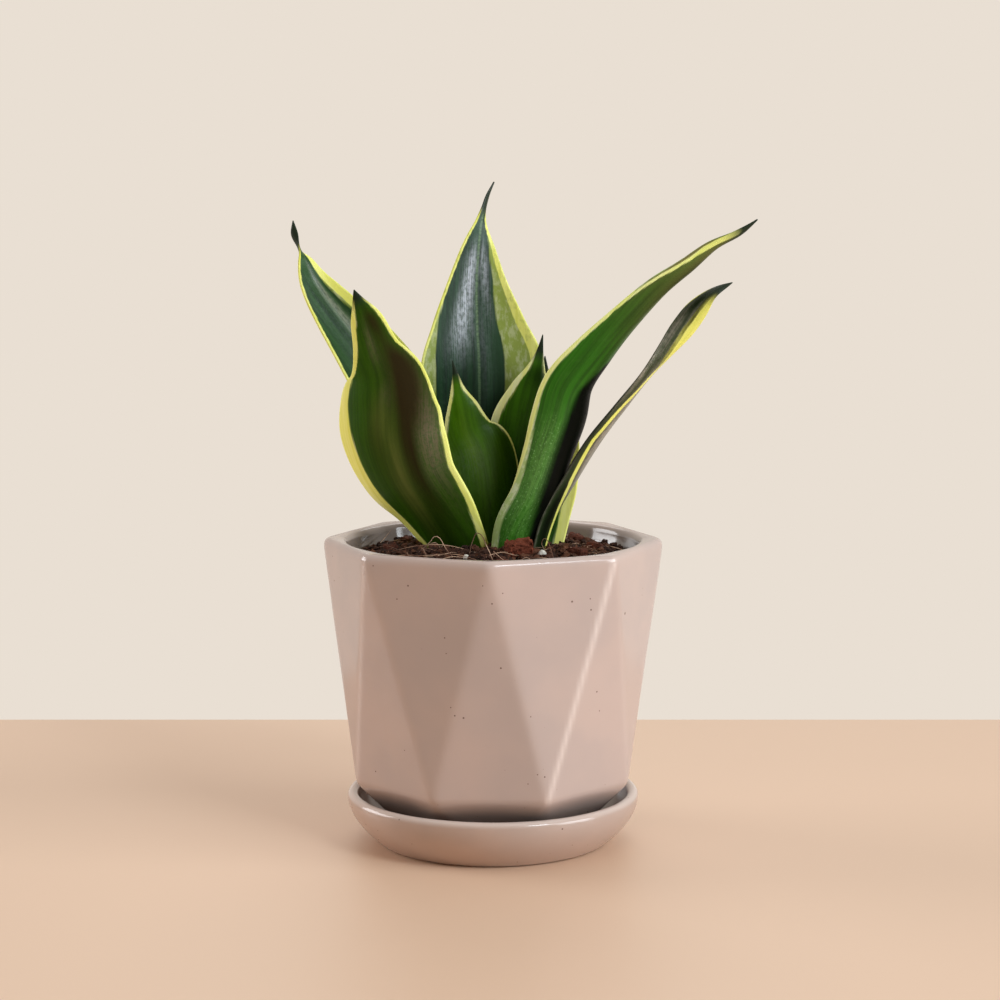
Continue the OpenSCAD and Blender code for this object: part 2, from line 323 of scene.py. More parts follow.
def glazeMaterial(name, look):
    material, tree, shader = newMaterial(name)
    coords = objectCoords(tree)
    clouds = ramp(tree, noiseOn(tree, coords, 26, 3), 0.35, 0.65)
    ridge, inside = attribute(tree, "ridge"), attribute(tree, "inside")
    colour = coated(tree, look["warm"], (clouds, look["cool"]), (ridge, look["ridge"]),
                    (inside, look["inside"]))
    for cells, largest in look["specks"]:
        distance, shade = addNode(tree, "TexVoronoi", {"Vector": coords, "Scale": cells},
                                  slice(0, 2))
        size = ramp(tree, shade, 0.50, 1.0, 0.0, largest)
        speck = ramp(tree, maths(tree, "SUBTRACT", size, distance), 0.0, 0.03)
        colour = blend(tree, times(tree, speck, 0.85), colour, look["speck"])
    rough = ramp(tree, inside, 0.0, 1.0, look["roughness"], look["roughInside"])
    smoother = ramp(tree, ridge, 0.0, 1.0, 0.0, look["roughness"] * 0.7)
    plug(tree, shader, {
        "Base Color": colour, "IOR": 1.52,
        "Roughness": maths(tree, "SUBTRACT", rough, smoother),
        "Specular IOR Level": ramp(tree, inside, 0.5, 1.0, 0.5, 0.85),
        "Normal": bump(tree, noiseOn(tree, coords, 75, 2, 0.45), 0.25, 0.35)})
    return material


# saucer

# the last setting is the strength of the painted highlight and pale glaze along the lip
saucer = dict(base=40.4, rim=51.5, wall=4.0, floor=5.0, height=18.0, bulge=1.9,
              around=144, steps=14, wave=0.35, lipPaintedLight=0.55)


def saucerProfile(s):
    half = s["wall"] / 2
    lipZ, middle = s["height"] - half, s["rim"] - half
    low = s["base"] - 1.4

    def side(foot, top, floor):
        # the bulging side from the foot up, outside or inside
        for i in range(1, s["steps"] + 1):
            up = (i / s["steps"]) ** 1.3
            yield foot + (top - foot) * (1 - (1 - up) ** s["bulge"]), floor + (lipZ - floor) * up

    lip = [math.pi * i / 12 for i in range(1, 12)]
    return [(s["base"] - 1.2, 0.0), (s["base"] - 0.4, 0.12), *side(s["base"], s["rim"], 0),
            *[(middle + half * math.cos(a), lipZ + half * math.sin(a)) for a in lip],
            *reversed([*side(low, s["rim"] - s["wall"], s["floor"])]),
            *[(r, s["floor"]) for r in (low - 0.8, 30.0, 18.0, 6.0)]]


def makeSaucer(s, material):
    rows = saucerProfile(s)
    foot = rows[0][0]
    deselectAll()
    addRing(s["around"], foot, 0)
    obj = newest("saucerBowl")
    editOn(obj)
    bpy.ops.mesh.select_all(action="SELECT")
    extrudeRings(ringSteps(rows), close=True)
    pick(obj, "VERT", lambda v: v.co.z / mm < 0.01 and v.co.xy.length / mm < foot + 0.1)
    extrudeRings([(0.7, 0), (0.4, 0), (0.3, 0)], close=True)
    editOff()
    outward(obj)
    roughen(obj, "saucerWave", 45, s["wave"])
    smooth(obj)
    heights = places(obj)[:, 2]
    # the lip is paler, with thin glaze and a painted highlight; the saucer has no painted shade
    onLip = np.clip((heights - s["height"] + 1.6) / 1.4, 0, 1)
    setFloat(obj, "ridge", s["lipPaintedLight"] * onLip)
    setFloat(obj, "inside", 0 * heights)
    finishPiece(obj, "saucer", "saucer_glaze", "saucer", material)


# pot

pot = dict(
    sides=8, turn=-1.0, round=96, around=256, outerCuts=84, innerCuts=60,
    rim=60.0, low=51.0, lowZ=23.8, foot=32.0, wall=4.6, floorZ=12.0, lip=2.4, lipRadius=57,
    drain=7.0, hollow=1.6, footRing=6.0, notch=7.0, notchLong=14, notchHigh=2.4,
    soften=7, softenInside=12, wave=0.3,
    opening=51.2, corners=52.0,        # the hollow at the rim, nearly a circle
    # the depth, lip share and taper share at the end of the next line set the painted shade inside
    # the pot
    flare=1.8, flareDeep=11, toneDeep=8, lipPaintedLight=0.4, taperShade=0.58,
    # the strong edges listed first carry a painted highlight; the faint strength on every other
    # edge is pale thin glaze
    edgeHighlights={1: 0.60, 7: 0.35, 2: 0.22}, faintRidge=0.07, ridgeWide=1.1)


def pressedShell(name, rings, low, high, around, cuts, soften, wide=66):
    # a tube that is pressed onto the flat facets between rings of corners, then softened
    deselectAll()
    addRing(*rings[0])
    facets = newest("facets")
    editOn(facets)
    for ring in rings[1:]:
        addRing(*ring)
    bpy.ops.mesh.select_all(action="SELECT")
    bpy.ops.mesh.convex_hull(join_triangles=False)
    editOff()
    settle(facets)
    tube = start(name, bpy.ops.mesh.primitive_cylinder_add, vertices=around, radius=wide * mm,
                 depth=(high - low) * mm, location=(0, 0, (high + low) / 2 * mm),
                 end_fill_type="NOTHING")
    settle(tube)
    editOn(tube)
    pick(tube, "EDGE", lambda e: abs(e.verts[0].co.z - e.verts[1].co.z) > 0.1 * mm)
    bpy.ops.mesh.subdivide(number_cuts=cuts)
    editOff()
    applyModifier(tube, "SHRINKWRAP", target=facets, wrap_method="PROJECT",
                  use_negative_direction=True, use_positive_direction=False)
    applyModifier(tube, "SMOOTH", factor=0.5, iterations=soften)
    bpy.data.objects.remove(facets, do_unlink=True)
    return tube


def hollowRings(p, gap):
    # the rings of the pot's hollow, between a circle and an octagon, smaller by a gap
    half, turn = math.pi / p["sides"], math.radians(p["turn"])
    share = (p["low"] - p["wall"] - 1 - gap) / (p["rim"] - p["wall"])
    lowZ = p["lowZ"] + 6
    return [(p["round"], p["opening"] - gap, rimZ), (p["sides"], p["corners"] - gap, rimZ, turn),
            (p["round"], p["opening"] * share, lowZ),
            (p["sides"], p["corners"] * share, lowZ, turn + half),
            (p["round"], p["foot"] - gap, p["floorZ"])]


def levelEnds(obj, low, high):
    # softening bows the open ends of a tube a little, so each is set level again
    points = places(obj)
    faces = np.zeros(len(points))
    for poly in obj.data.polygons:
        faces[list(poly.vertices)] += 1
    upper = points[:, 2] > points[:, 2].mean()
    points[(faces == 2) & upper, 2] = high
    points[(faces == 2) & ~upper, 2] = low
    movePlaces(obj, points)


def flareTop(obj, p):
    # the wall below the lip stands further in, so that the opening flares
    points = places(obj)
    down = np.clip((rimZ - 2 - points[:, 2]) / p["flareDeep"], 0, 1)
    inward = p["flare"] * down * down * (3 - 2 * down)
    points[:, :2] *= (1 - inward / radiiOf(points))[:, None]
    movePlaces(obj, points)


def makePot(p, material):
    half, turn = math.pi / p["sides"], math.radians(p["turn"])
    outerLow, outerTop = footZ + 0.5, rimZ - p["lip"]
    innerLow, innerTop = p["floorZ"] + 0.6, outerTop - 0.3
    outer = pressedShell("potWall", [
        (p["sides"], p["rim"], rimZ, turn), (p["sides"], p["low"], p["lowZ"], turn + half),
        (p["round"], p["foot"], footZ)],
        outerLow, outerTop, p["around"], p["outerCuts"], p["soften"])
    levelEnds(outer, outerLow, outerTop)
    inner = pressedShell("potInside", hollowRings(p, 0), innerLow, outerTop, p["around"],
                         p["innerCuts"], p["softenInside"])
    flareTop(inner, p)
    levelEnds(inner, innerLow, innerTop)

    # the rounded lip: both walls bend in towards each other and are bridged
    angles = [math.radians(a) for a in (0, 20, 40, 60, 78)]
    lip = [((math.cos(a) - math.cos(b)) * p["wall"] / 2 / p["lipRadius"],
            (math.sin(b) - math.sin(a)) * p["lip"]) for a, b in zip(angles, angles[1:])]
    for wall, top, side in ((outer, outerTop, -1), (inner, innerTop, 1)):
        editOn(wall)
        ringAt(wall, top)
        extrudeRings([(1 + side * inset, rise) for inset, rise in lip])
        editOff()

    # floor, drain hole, hollow and foot ring
    points = places(inner)
    lowR = radiiOf(points[np.abs(points[:, 2] - innerLow) < 0.05]).mean()
    floorZ, drain, foot = p["floorZ"], p["drain"], p["foot"]
    hollowR, hollowZ = foot - p["footRing"], footZ + p["hollow"]
    editOn(inner)
    ringAt(inner, innerLow)
    extrudeRings(ringSteps([
        (lowR, innerLow), (lowR - 0.8, floorZ + 0.15), (lowR - 2, floorZ), (20, floorZ),
        (drain + 0.6, floorZ), (drain + 0.15, floorZ - 0.2), (drain, floorZ - 0.7),
        (drain, hollowZ + 0.5), (drain + 0.4, hollowZ), (14, hollowZ), (hollowR - 0.6, hollowZ),
        (hollowR - 0.1, hollowZ - 0.3), (hollowR, footZ + 0.5), (hollowR + 0.6, footZ),
        (foot - 1.0, footZ), (foot - 0.2, footZ + 0.15)]))
    editOff()
    body = joinAll([outer, inner], "potBody")
    editOn(body)
    crest = rimZ - p["lip"] * (1 - math.sin(angles[-1]))
    pick(body, "EDGE", lambda e: e.is_boundary and e.verts[0].co.z / mm > crest - 0.5)
    bpy.ops.mesh.bridge_edge_loops(number_cuts=1, interpolation="LINEAR")
    pick(body, "EDGE", lambda e: e.is_boundary and e.verts[0].co.z / mm < footZ + 2)
    bpy.ops.mesh.bridge_edge_loops()
    editOff()
    outward(body)

    # drain notches through the foot ring
    far = foot - p["footRing"] / 2 + 1
    cutter = joinAll([
        start("notchCut", bpy.ops.mesh.primitive_cube_add, size=1, rotation=(0, 0, a),
              location=list(onCircle(far, a, footZ) * mm),
              scale=(p["notchLong"] * mm, p["notch"] * mm, p["notchHigh"] * mm))
        for a in np.radians([45, 135, 225, 315])], "notchCuts")
    settle(cutter)
    applyModifier(body, "BOOLEAN", object=cutter, operation="DIFFERENCE", solver="EXACT")
    bpy.data.objects.remove(cutter, do_unlink=True)

    roughen(body, "potWave", 40, p["wave"])
    smooth(body, 50)
    # painted highlight on a few edges and pale glaze on all, then painted shade inside and on the
    # taper
    setFloat(body, "ridge", ridgeAndHighlightStrength(p, places(body)))
    setFloat(body, "inside", paintedPotShade(p, body))
    finishPiece(body, "pot", "pot_glaze", "pot", material)


def paintedPotShade(p, obj):
    # painted shade: 1 on the floor and the walls that face the axis, less at the lip and on
    # the taper to the foot, and 0 on the facets
    points = places(obj)
    normals = readRows(obj.data.vertex_normals, "vector")
    radii, heights = radiiOf(points), points[:, 2]
    inward = -(normals[:, :2] * points[:, :2]).sum(axis=1) / np.maximum(radii, 0.1)
    onFloor = (np.abs(heights - p["floorZ"]) < 1) & (radii < 34)
    below = np.clip((rimZ - 1 - heights) / p["toneDeep"], 0, 1)
    facing = np.clip((inward - 0.1) / 0.6, 0, 1) * (p["lipPaintedLight"] + (1 - p["lipPaintedLight"]) * below)
    # painted shade on the outside taper just above the saucer
    taper = np.clip((p["lowZ"] + 1.5 - heights) / 8, 0, 1)
    return np.maximum(np.where(onFloor, 1, facing), p["taperShade"] * taper)


def ridgeAndHighlightStrength(p, points):
    # how near each point is to an edge between two facets, as pale glaze and painted highlight
    half = math.pi / p["sides"]
    strength = np.zeros(len(points))
    for k in range(p["sides"]):
        a = math.radians(p["turn"] - 90) + 2 * k * half
        top = onCircle(p["rim"], a, rimZ)
        for side, power in ((1, p["faintRidge"]), (-1, p["edgeHighlights"].get(k, p["faintRidge"]))):
            edge = onCircle(p["low"], a + side * half, p["lowZ"]) - top
            along = np.clip((points - top) @ edge / (edge @ edge), 0, 1)
            away = np.linalg.norm(points - top - along[:, None] * edge, axis=1)
            strength = np.maximum(strength, power * np.exp(-(away / p["ridgeWide"]) ** 2))
    return strength


# leaves

# Each station is x, y, z above the soil, half the width along the skin (mm), the heading
# of the width and the roll of each half (degrees). Bands are the widths in mm of the
# yellow at the left and right margin and of the paler green beside them. A line is one
# more yellow band: its middle (-1 to 1 across) and half its width in mm. Past a fold
# (-1 to 1 across, then its softness) the underside is painted nearly black as painted shade.
# The sheen, light and shade spots are soft spots of painted reflection, painted light and
# painted shade: station, place across, reach along, reach across, strength.

leafLook = dict(
    acrossSteps=22, alongSteps=96, thick=2.4, thin=0.8,
    stand=0.984,                       # each leaf is a little lower than its stations
    tile=200,                          # mm of skin in one tile of the UV map
    deep=(24, 44, 26), middle=(40, 70, 30), light=(76, 104, 44), grey=(150, 160, 150),
    yellow=(248, 247, 140), yellowDeep=(228, 229, 98), pale=(152, 168, 78),
    # the colour after pale grey is painted light, the next one painted shade
    paleGrey=(190, 198, 140), paintedLightColour=(96, 122, 44), dusk=(12, 16, 8), tip=(34, 46, 32),
    rib=(132, 162, 118),
    gloss=0.12, roughness=0.34, bars=0.10, midrib=0, speckles=0, blotchy=0)

leaves = {}

leaves["leaf_back_centre"] = dict(
    stations=[[-3, 18, -9, 7, 12, -45], [-4, 22, 15, 15, 12, -38], [-5, 26, 38, 23, 14, -34],
              [-5.3, 27, 62, 24, 15, -32], [-6, 28, 78, 18, 15, -30],
              [-6.1, 28.5, 93, 11.4, 15, -28], [-5.4, 29, 106, 6.2, 20, -20],
              [-4.5, 30, 114, 2.6, 35, -10], [-3.4, 31, 119, 1.5, 55, 0],
              [-1.9, 32, 124, 1.1, 60, 0], [0.4, 33, 129, 0.15, 60, 0]],
    bands=[[1, 3.6, 5, 12], [1, 4, 6.5, 14], [1, 4.6, 7.5, 15.5], [1, 4.6, 6.5, 14.6],
           [1, 3.8, 2.4, 11], [0.9, 2.4, 0, 5.4], [0.8, 1.5, 0, 2.2], [0.6, 1, 0, 0],
           [0.2, 0.4, 0, 0], [0, 0, 0, 0], [0, 0, 0, 0]],
    look=dict(deep=(18, 44, 28), middle=(32, 66, 40), light=(74, 104, 84), grey=(210, 216, 228),
              gloss=0.22, bars=0.12, blotchy=0.35, midrib=0.55),
    sheen=[(4.9, -0.26, 0.6, 0.15, 1.1), (4.35, -0.34, 0.6, 0.17, 0.95),
           (3.7, -0.32, 0.5, 0.2, 0.4), (5.6, -0.25, 0.5, 0.3, 0.5), (5, 0.27, 0.8, 0.1, 0.5),
           (5.6, 0.3, 0.5, 0.2, 0.35), (3.6, 0.1, 0.9, 0.1, 0.12)],
    shade=[(1, 0.2, 1.5, 1.2, 0.75), (2.6, 0.35, 0.9, 0.12, 0.35), (2.4, -0.1, 0.9, 0.2, 0.3)],
    tipFrom=7.3)

leaves["leaf_back_left"] = dict(
    stations=[[-16, 20, -9, 5, 20, -45], [-23, 26, 20, 12, 18, -40], [-32, 28, 45, 15, 15, -38],
              [-45, 29, 66, 13, 15, -35], [-57, 30, 82, 9, 15, -30], [-64, 30, 92, 6, 20, -25],
              [-67.4, 30, 100, 3.2, 35, -10], [-69.3, 30, 104.5, 1.5, 95, 0],
              [-71, 30, 110, 1.5, 150, 0], [-71.5, 30, 115, 0.15, 170, 0]],
    bands=[[0.9, 3, 0.4, 3], [0.9, 3, 0.4, 3], [0.9, 3.2, 0.4, 4], [0.9, 3.6, 0.4, 4.6],
           [0.9, 3.4, 0.3, 4.2], [0.8, 2.8, 0.2, 3], [0.7, 1.6, 0, 1.6], [0.3, 0.5, 0, 0],
           [0, 0, 0, 0], [0, 0, 0, 0]],
    look=dict(deep=(28, 58, 26), middle=(46, 82, 38), light=(84, 110, 70), grey=(128, 136, 108),
              midrib=0.15),
    sheen=[(3.6, 0.12, 1.8, 0.13, 0.95), (2.4, 0.15, 1, 0.16, 0.8), (4.6, 0.1, 0.8, 0.12, 0.8)],
    shade=[(2.8, 0.55, 1.5, 0.2, 0.55), (3.4, -0.25, 2, 0.18, 0.3)],
    tipFrom=6.6)

leaves["leaf_front_left"] = dict(
    stations=[[-12.4, 3, -9, 15, -38, 44], [-23.6, -3, 10, 20.6, -35, 38],
              [-32.6, -5, 24, 21.8, -30, 32], [-36.8, -7, 38, 21.8, -25, 30],
              [-37.3, -8, 50, 19.8, -22, 28], [-37.5, -9, 61, 15, -20, 25],
              [-40.5, -9.5, 71, 8.8, -15, 20], [-43.5, -10, 81, 6, -15, 18],
              [-46, -10.5, 87.5, 2.2, -10, 15], [-47.4, -11, 91.3, 0.15, 0, 0]],
    bands=[[12.5, 2.8, 13, 3], [11.8, 2.4, 12.2, 2.6], [9.6, 1.9, 10, 2.1], [7.8, 1.6, 8.2, 1.8],
           [4.6, 1.3, 5, 1.5], [2.2, 1.1, 2.5, 1.3], [2.3, 1.1, 2.6, 1.3], [2.6, 1.1, 2.9, 1.3],
           [0.9, 0.5, 0.9, 0.5], [0, 0, 0, 0]],
    look=dict(deep=(42, 76, 8), middle=(52, 90, 10), light=(92, 102, 50), grey=(128, 108, 86),
              paintedLightColour=(104, 114, 52), dusk=(50, 42, 22), gloss=0.06, yellow=(252, 251, 148),
              yellowDeep=(236, 236, 108), bars=0.03),
    sheen=[(3.2, 0.72, 1.6, 0.22, 1), (6.2, -0.05, 0.7, 0.16, 0.5), (4.4, 0.05, 0.4, 0.05, 0.6),
           (4.8, 0.45, 0.9, 0.25, 0.45)],
    glow=[(2.3, 0.16, 1, 0.14, 0.9), (1.5, 0.05, 0.8, 0.14, 0.6), (3.6, -0.05, 0.8, 0.18, 0.6)],
    shade=[(5.2, 0.55, 1.2, 0.4, 1), (3.9, 0.42, 1.2, 0.26, 0.75), (2.6, 0.38, 1, 0.1, 0.8),
           (3, -0.16, 1, 0.12, 0.4), (6.9, 0.35, 0.6, 0.35, 0.8), (1.5, 0.4, 0.8, 0.1, 0.6)])

leaves["leaf_front_small"] = dict(
    stations=[[-2, 5, -9, 6, -5, 50], [-3, 4.5, 15, 13, -5, 42], [-5.4, 4, 32.5, 13.6, -5, 38],
              [-8.9, 4.5, 41, 9.2, -5, 34], [-10.7, 5, 49, 5.9, -5, 30],
              [-12.2, 6, 55, 2.8, -5, 20], [-13, 6, 60, 1.2, 0, 5], [-14.2, 6, 65.7, 0.15, 0, 0]],
    bands=[[0.8, 0.8, 1, 1], [0.8, 0.8, 1, 1], [1, 0.9, 1.4, 1.1], [1.4, 1.1, 1.8, 1.3],
           [1.9, 1.4, 2.2, 1.7], [1.3, 1.2, 1.5, 1.4], [0.2, 0.2, 0.2, 0.2], [0, 0, 0, 0]],
    look=dict(deep=(62, 104, 8), middle=(76, 124, 12), light=(118, 158, 56),
              paintedLightColour=(116, 158, 40), speckles=0.5, dusk=(18, 34, 4), yellow=(255, 255, 176),
              yellowDeep=(244, 242, 130)),
    sheen=[(1.9, -0.2, 0.7, 0.5, 0.25)],
    glow=[(2.4, -0.1, 1.4, 0.16, 0.6), (2, -0.6, 1, 0.2, 0.3)],
    shade=[(1.2, 0.8, 1.8, 0.38, 0.75), (0.4, 0, 1, 1.2, 0.35), (3.6, 0.6, 1, 0.4, 0.3)])

leaves["leaf_inner_right"] = dict(
    stations=[[9, 12, -9, 5, 0, -45], [9, 13, 15, 11, 0, -38], [9.5, 13, 32, 12.5, 0, -32],
              [10.8, 13, 44, 11.5, 0, -28], [12.8, 13, 54, 7.5, 0, -25],
              [15, 13, 61.5, 3.8, 0, -20], [16.4, 13, 67.5, 1.5, 0, 0],
              [17.6, 13, 74.5, 0.15, 0, 0]],
    bands=[[2.5, 0.8, 2.8, 0.8], [2.5, 0.8, 2.8, 0.8], [2.6, 0.8, 3, 1.2], [2.6, 0.8, 3, 1.6],
           [2.2, 0.6, 2.6, 1.2], [1.3, 0.5, 1.5, 0.8], [0.2, 0.2, 0.2, 0.2], [0, 0, 0, 0]],
    look=dict(deep=(50, 92, 8), middle=(66, 118, 14), light=(82, 122, 40), yellow=(255, 255, 196),
              yellowDeep=(250, 248, 150)),
    sheen=[(3.8, 0.82, 1.4, 0.16, 1.2)],
    shade=[(1.5, 0.3, 1.2, 1, 0.4), (4.8, 0.2, 0.7, 1, 0.7)])

leaves["leaf_inner_far"] = dict(
    stations=[[16, 17, -9, 4, 0, -40], [16.8, 18, 20, 6.5, 0, -35], [17.6, 18.5, 42, 6.5, 0, -30],
              [18.2, 19, 55, 4, 0, -20], [18.4, 19, 61, 1.6, 0, 0], [18.5, 19, 66.5, 0.15, 0, 0]],
    bands=[[0.8, 2, 1, 2.2], [0.8, 2, 1, 2.2], [0.8, 2.2, 1, 2.4], [0.7, 1.8, 0.9, 2],
           [0.3, 0.6, 0.3, 0.6], [0, 0, 0, 0]],
    look=dict(deep=(24, 44, 14), middle=(38, 68, 18), light=(70, 100, 36)),
    shade=[(1.5, 0, 1.5, 1.5, 0.4)])

leaves["leaf_arching_right"] = dict(
    stations=[[7, -7, -9, 8.4, 30, 65], [11, -9, 6, 11.4, 32, 60], [17.2, -10, 19, 11.7, 34, 55],
              [21.8, -11, 33, 12.4, 34, 52], [25.6, -12, 45, 13.6, 34, 52],
              [28.8, -13, 56.5, 13, 36, 55], [36.1, -13, 66.8, 11.6, 40, 55],
              [45.1, -13, 77.9, 9.2, 42, 55], [56.6, -13, 90.4, 6.7, 42, 55],
              [66.8, -13, 98.8, 4.9, 42, 50], [75.1, -13, 105.9, 3.4, 42, 45],
              [83.5, -13, 110.5, 2.2, 42, 30], [90, -13, 115.6, 0.15, 42, 0]],
    bands=[[-1, -1, 2.9, 0.3], [-0.5, -1, 2.7, 0.3], [0.4, -1, 2.4, 0.3], [1.6, -1, 2.1, 0.3],
           [1.7, 0.2, 2.1, 0.5], [1.6, 0.4, 1.8, 0.5], [1.3, 0.4, 1.5, 0.5], [1.1, 0.4, 1.2, 0.5],
           [-0.4, 0.3, 0, 0.3]] + [[-1, 0.3, 0, 0.3]] * 3 + [[0, 0, 0, 0]],
    line=[(-1, -1)] * 6 + [(-1, 0.4), (-0.96, 0.5), (-0.86, 0.45), (-0.74, 0.5), (-0.6, 0.8),
                           (-0.7, 0.9), (-1, -1)],
    fold=[(0, 0.3), (-0.1, 0.3), (-0.36, 0.3), (-0.32, 0.26), (-0.22, 0.2), (-0.1, 0.16),
          (0.22, 0.12)] + [(1.2, 0.2)] * 6,
    look=dict(deep=(36, 80, 12), middle=(46, 104, 16), light=(120, 170, 84),
              paintedLightColour=(122, 112, 66), grey=(96, 150, 60), bars=0.04, speckles=1,
              speckle=(150, 200, 120), yellow=(248, 252, 170), yellowDeep=(228, 234, 122),
              pale=(184, 208, 130), paleGrey=(222, 232, 186), dusk=(9, 11, 7)),
    sheen=[(1.6, -0.35, 1.6, 0.5, 0.7), (3.2, -0.4, 1, 0.4, 0.4)],
    glow=[(9, -0.95, 1.3, 0.2, 1), (10, 0.2, 1.8, 1.4, 0.7), (8, 0.3, 1.2, 1, 0.3)],
    shade=[(6, 0.5, 1.6, 0.6, 0.2), (7.6, -0.2, 1.6, 0.5, 0.35), (9, 0.3, 1, 0.5, 0.45),
           (10.7, 0.45, 0.5, 0.5, 0.9)])

leaves["leaf_slender_right"] = dict(
    stations=[[14.4, -3, -9, 4.2, 60, 6], [19.4, -4, 10, 5, 58, 6], [27.3, -4, 24.7, 5.2, 57, 6],
              [35.1, -4, 37.6, 5.2, 56, 6], [44.2, -4, 49.5, 4.8, 58, 8],
              [53, -4, 60.7, 4.4, 58, 10], [59.4, -4, 69, 3.9, 34, 16],
              [65.6, -4, 77.5, 4.2, 4, 20], [70.6, -4, 84.5, 3.9, -16, 20],
              [75.6, -4, 89.8, 2.2, -26, 10], [82.6, -4, 93.6, 0.15, 0, 0]],
    bands=[[-1, -1, -1, -1]] * 4 + [
        [-1, -0.8, -1, -0.8], [-1, 1.6, -1, 2.6], [-1, 2.2, -1, 3.6], [-0.6, 3.2, -0.6, 4.6],
        [0.3, 2.6, 0.3, 3.2], [0.5, 0.9, 0.5, 1.2], [0, 0, 0, 0]],
    line=[(0.68, 1.1), (0.6, 1.2), (-0.25, 1.1), (-0.55, 0.9), (-0.35, 0.9), (0.25, 1),
          (0.6, -0.5)] + [(0.6, -1)] * 4,
    look=dict(deep=(22, 38, 12), middle=(36, 56, 20), light=(110, 112, 88), grey=(172, 160, 142),
              gloss=0.3, yellow=(248, 244, 128), yellowDeep=(226, 224, 92), pale=(140, 140, 56),
              paleGrey=(176, 176, 84)),
    sheen=[(4.2, 0.55, 1.4, 0.62, 1.6), (2.9, 0.55, 0.9, 0.62, 1.5), (1, -1, 1.4, 0.1, 0.5),
           (5.4, -0.95, 1.4, 0.22, 0.9), (6.9, -0.55, 0.9, 0.25, 0.5), (7.4, 0, 1, 0.09, 0.8)],
    shade=[(8.2, -0.35, 0.8, 0.35, 0.8), (7.8, 0.22, 0.8, 0.12, 0.7), (1, -0.3, 1.4, 0.55, 0.95),
           (3.2, -1, 1.4, 0.3, 0.5)])

leaves["leaf_back_right"] = dict(
    stations=[[19, 6, -9, 4, 0, -30], [20, 7, 10, 7.5, 0, -24], [21, 6.8, 22, 9, 0, -20],
              [21.5, 6.5, 37, 9, 0, -20], [21.5, 6.5, 50, 6, 0, -15], [21.5, 6.5, 62, 0.15, 0, 0]],
    bands=[[0.7, 3.2, 0.9, 3.5], [0.7, 3.7, 0.9, 4.1], [0.7, 4.2, 0.9, 4.8], [0.7, 4.6, 0.9, 5.2],
           [0.5, 2.6, 0.7, 3.4], [0, 0, 0, 0]],
    look=dict(deep=(34, 66, 20), middle=(50, 90, 28), light=(76, 110, 46), yellow=(252, 252, 150),
              yellowDeep=(236, 236, 110)))


def onCurve(rows, t):
    # a smooth curve through all the rows, at place t along it
    i = min(int(t), len(rows) - 2)
    f = t - i
    b, c = rows[i], rows[i + 1]
    a = rows[i - 1] if i > 0 else 2 * b - c
    d = rows[i + 2] if i + 2 < len(rows) else 2 * c - b
    return 0.5 * (2 * b + (c - a) * f + (2 * a - 5 * b + 4 * c - d) * f * f
                  + (3 * b - a - 3 * c + d) * f ** 3)


def unit(v):
    return v / np.linalg.norm(v)


def leafRow(rows, t, columns, stand):
    # the places across the leaf at one station, and its half width there
    row = onCurve(rows, t)
    ahead, behind = onCurve(rows, min(len(rows) - 1, t + 0.01)), onCurve(rows, max(0, t - 0.01))
    along = unit((ahead - behind)[:3])
    width = max(row[3], 0.1)
    flat = onCircle(1, math.radians(row[4]))
    side = unit(flat - (flat @ along) * along)
    back = np.cross(along, side)
    roll = math.radians(row[5] if abs(row[5]) > 0.5 else 0.5)
    centre = row[:3] * [1, 1, stand] + [0, 0, soilZ]
    turns = roll * columns[:, None]
    return centre + width / roll * (np.sin(turns) * side + (1 - np.cos(turns)) * back), width


def spots(listed, t, s):
    total = np.zeros(len(t))
    for centreT, centreS, reachT, reachS, strength in listed:
        total += strength * np.exp(-((t - centreT) / reachT) ** 2 - ((s - centreS) / reachS) ** 2)
    return np.minimum(total, 1)


